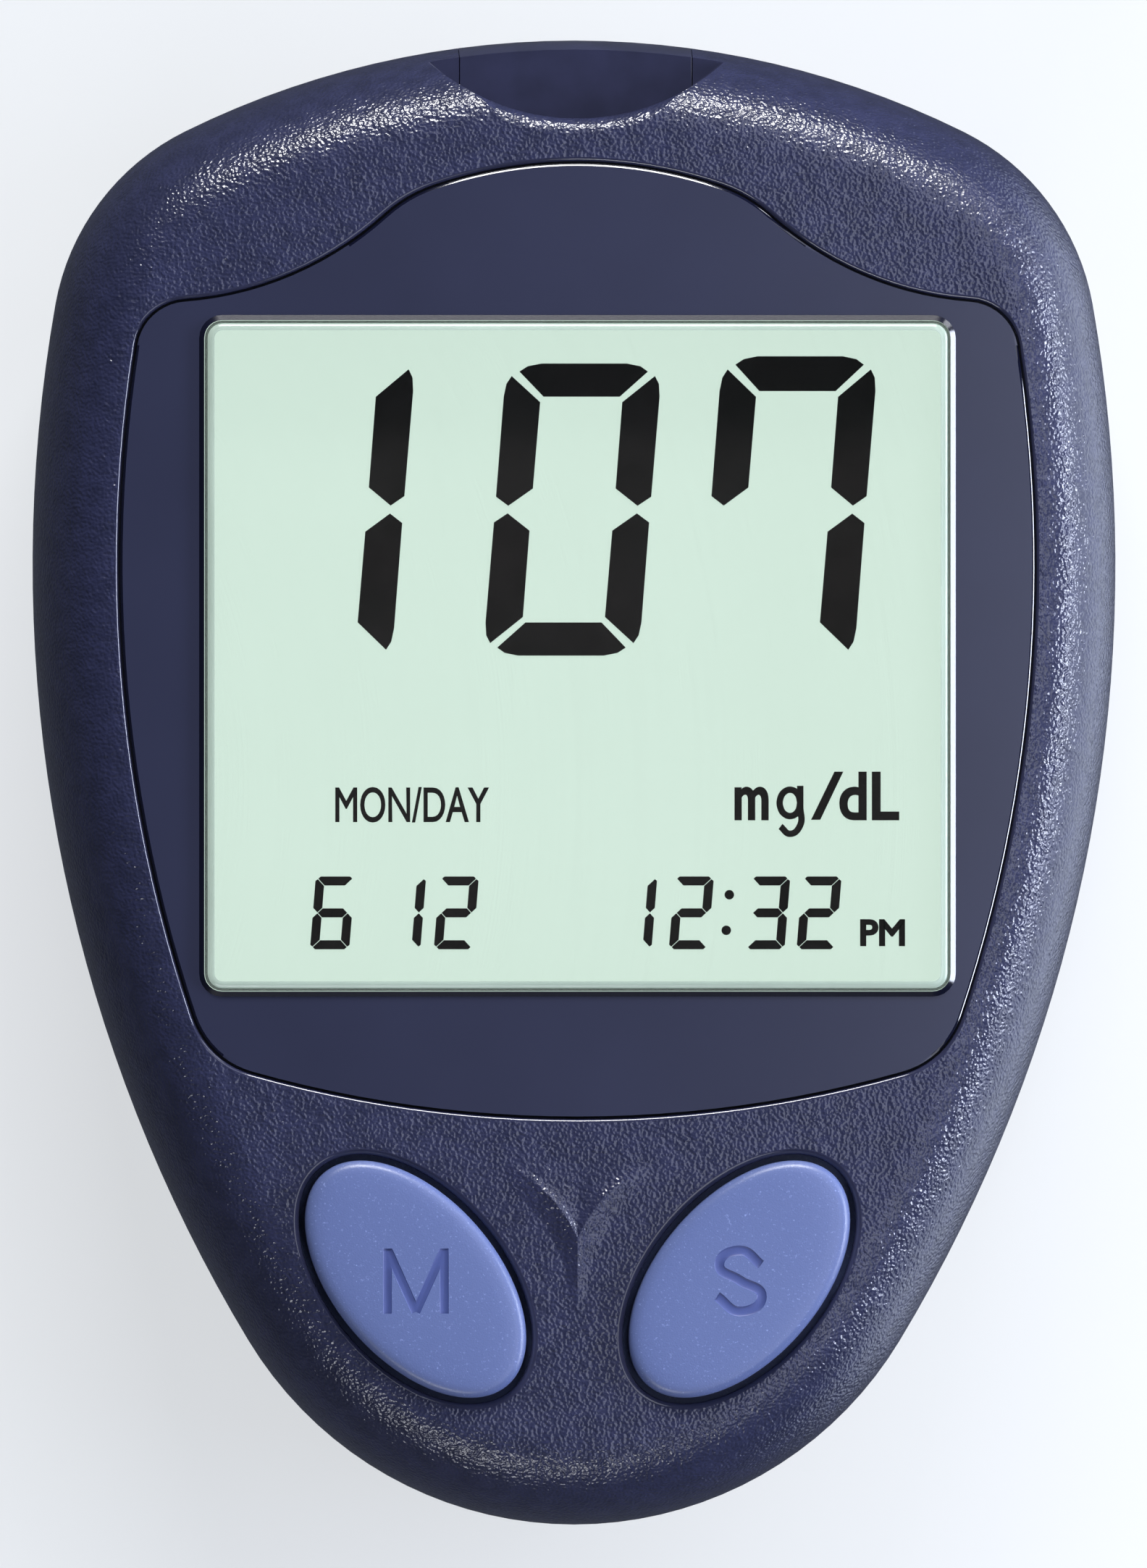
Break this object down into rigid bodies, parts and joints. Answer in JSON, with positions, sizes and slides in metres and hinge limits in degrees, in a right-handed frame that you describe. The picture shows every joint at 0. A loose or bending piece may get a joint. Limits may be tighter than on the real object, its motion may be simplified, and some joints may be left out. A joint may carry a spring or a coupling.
{
  "type": "blood glucose meter",
  "caption": "Hand-held blood glucose meter with an egg-shaped case, a bevelled display window, two oval keys, a scooped strip port and a slide-off battery door.",
  "frame": {"origin": "middle of the footprint, on the surface under the rubber feet", "axes": "+Z out of the display, +Y towards the strip port end, +X to the right as the display is read"},
  "size_m": [0.0636, 0.087, 0.0229],
  "materials": {
    "housing": "fine spark-eroded texture, semi-matte",
    "plate": "smooth satin",
    "pane": "clear, polished, bevelled edges",
    "polariser": "satin film, pale mint",
    "lcd_glass": "clear",
    "lcd_ink": "near black",
    "reflector": "diffuse foil, pale mint",
    "white_plastic": "satin",
    "ivory_plastic": "satin",
    "elastomer": "matte, fine layers",
    "tape": "translucent double-sided tape",
    "board": "green solder mask",
    "chip": "moulded black",
    "chip_component": "ceramic",
    "steel": "zinc plated",
    "nickel": "nickel plated",
    "gold": "gold plated",
    "key": "satin with fine sparkle, rounded edge",
    "silicone": "matte, translucent",
    "carbon": "matte conductive",
    "cell_jacket": "plain printed sleeve, no label",
    "feet": "matte"
  },
  "bodies": {
    "case": {"front_housing": "housing", "rear_housing": "housing", "face_plate": "plate", "face_plate_tape": "tape", "display_window": "pane", "lcd_polariser": "polariser", "lcd_front_glass": "lcd_glass", "lcd_segments": "lcd_ink", "lcd_rear_glass": "lcd_glass", "lcd_reflector": "reflector", "lcd_holder": "white_plastic", "zebra_strips": "elastomer", "main_pcb": "board", "microcontroller": "chip", "pcb_components": "chip_component", "crystal": "steel", "buzzer": "chip", "contact_pads": "gold", "strip_connector": "ivory_plastic", "strip_contacts": "gold", "strip_port_insert": "plate", "keypad_sheet": "silicone", "battery_left": "cell_jacket", "battery_right": "cell_jacket", "battery_link": "nickel", "battery_link_spring": "nickel", "positive_contact": "nickel", "negative_contact": "nickel", "negative_spring": "nickel", "housing_screws": "steel", "pcb_screws": "steel", "rubber_feet": "feet"},
    "m_key": {"m_button": "key", "m_key_dome": "silicone", "m_contact_pill": "carbon"},
    "s_key": {"s_button": "key", "s_key_dome": "silicone", "s_contact_pill": "carbon"},
    "battery_cover": {"battery_door": "housing"}
  },
  "joints": [
    {"name": "m_press", "type": "slide", "parent": "case", "child": "m_key", "axis": [0, 0, -1], "range_m": [0, 0.0009], "stiffness_N_per_m": 1200, "springref_m": -0.0002, "deforming": ["m_key_dome"]},
    {"name": "s_press", "type": "slide", "parent": "case", "child": "s_key", "axis": [0, 0, -1], "range_m": [0, 0.0009], "stiffness_N_per_m": 1200, "springref_m": -0.0002, "deforming": ["s_key_dome"]},
    {"name": "door_slide", "type": "slide", "parent": "case", "child": "battery_cover", "axis": [0, -1, 0], "range_m": [0, 0.055]}
  ]
}
